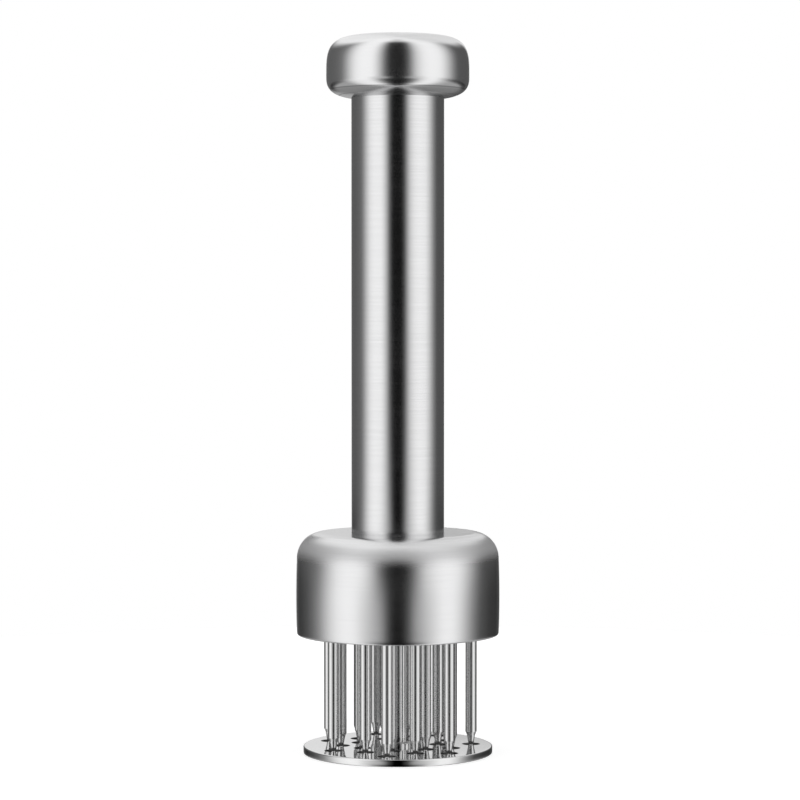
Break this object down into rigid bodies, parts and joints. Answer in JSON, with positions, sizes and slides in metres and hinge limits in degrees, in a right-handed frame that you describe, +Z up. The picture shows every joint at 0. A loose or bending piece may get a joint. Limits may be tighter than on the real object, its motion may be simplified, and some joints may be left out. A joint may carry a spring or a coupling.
{
  "type": "blade meat tenderizer",
  "caption": "Round needle-blade meat tenderizer: knob, brushed tube handle and cup head over a bundle of blades that stand in the holes of a sprung guard disc.",
  "frame": {"origin": "middle of the guard disc's lower face, which stands on the table", "axes": "+Z up the handle towards the knob; +X to the right in the front view"},
  "size_m": [0.0554, 0.0554, 0.195],
  "materials": {
    "tube_brushed": "stainless steel brushed round the tube, fine lines across its length",
    "head_satin": "satin stainless steel with a soft sheen",
    "knob_satin": "stainless steel, finely polished to a soft sheen",
    "needle_polish": "polished stainless steel",
    "guard_polish": "mirror-polished stainless steel",
    "stem_polish": "polished stainless steel",
    "plate_steel": "turned stainless steel",
    "inner_steel": "plain turned steel",
    "spring_wire": "drawn stainless spring wire",
    "bumper_rubber": "soft black silicone"
  },
  "bodies": {
    "handle": {"head_shell": "head_satin", "needle_plate": "plate_steel", "clamp_plate": "plate_steel", "locating_pins": "inner_steel", "neck_collar": "inner_steel", "guide_sleeve": "stem_polish", "tube_nut": "inner_steel", "bumper_ring": "bumper_rubber", "handle_tube": "tube_brushed", "return_spring": "spring_wire", "spring_stop": "inner_steel", "top_plug": "inner_steel", "knob_stud": "inner_steel", "knob_base": "knob_satin", "knob_shell": "knob_satin", "needle_01": "needle_polish", "needle_02": "needle_polish", "needle_03": "needle_polish", "needle_04": "needle_polish", "needle_05": "needle_polish", "needle_06": "needle_polish", "needle_07": "needle_polish", "needle_08": "needle_polish", "needle_09": "needle_polish", "needle_10": "needle_polish", "needle_11": "needle_polish", "needle_12": "needle_polish", "needle_13": "needle_polish", "needle_14": "needle_polish", "needle_15": "needle_polish", "needle_16": "needle_polish", "needle_17": "needle_polish", "needle_18": "needle_polish", "needle_19": "needle_polish", "needle_20": "needle_polish", "needle_21": "needle_polish"},
    "guard": {"guard_disc": "guard_polish", "guard_stem": "stem_polish", "stem_screw": "inner_steel", "stem_washer": "inner_steel", "stem_nut": "inner_steel"}
  },
  "joints": [
    {"name": "guard_slide", "type": "slide", "parent": "handle", "child": "guard", "axis": [0, 0, 1], "range_m": [0, 0.0324], "stiffness_N_per_m": 220, "springref_m": -0.05, "deforming": ["return_spring"]}
  ]
}
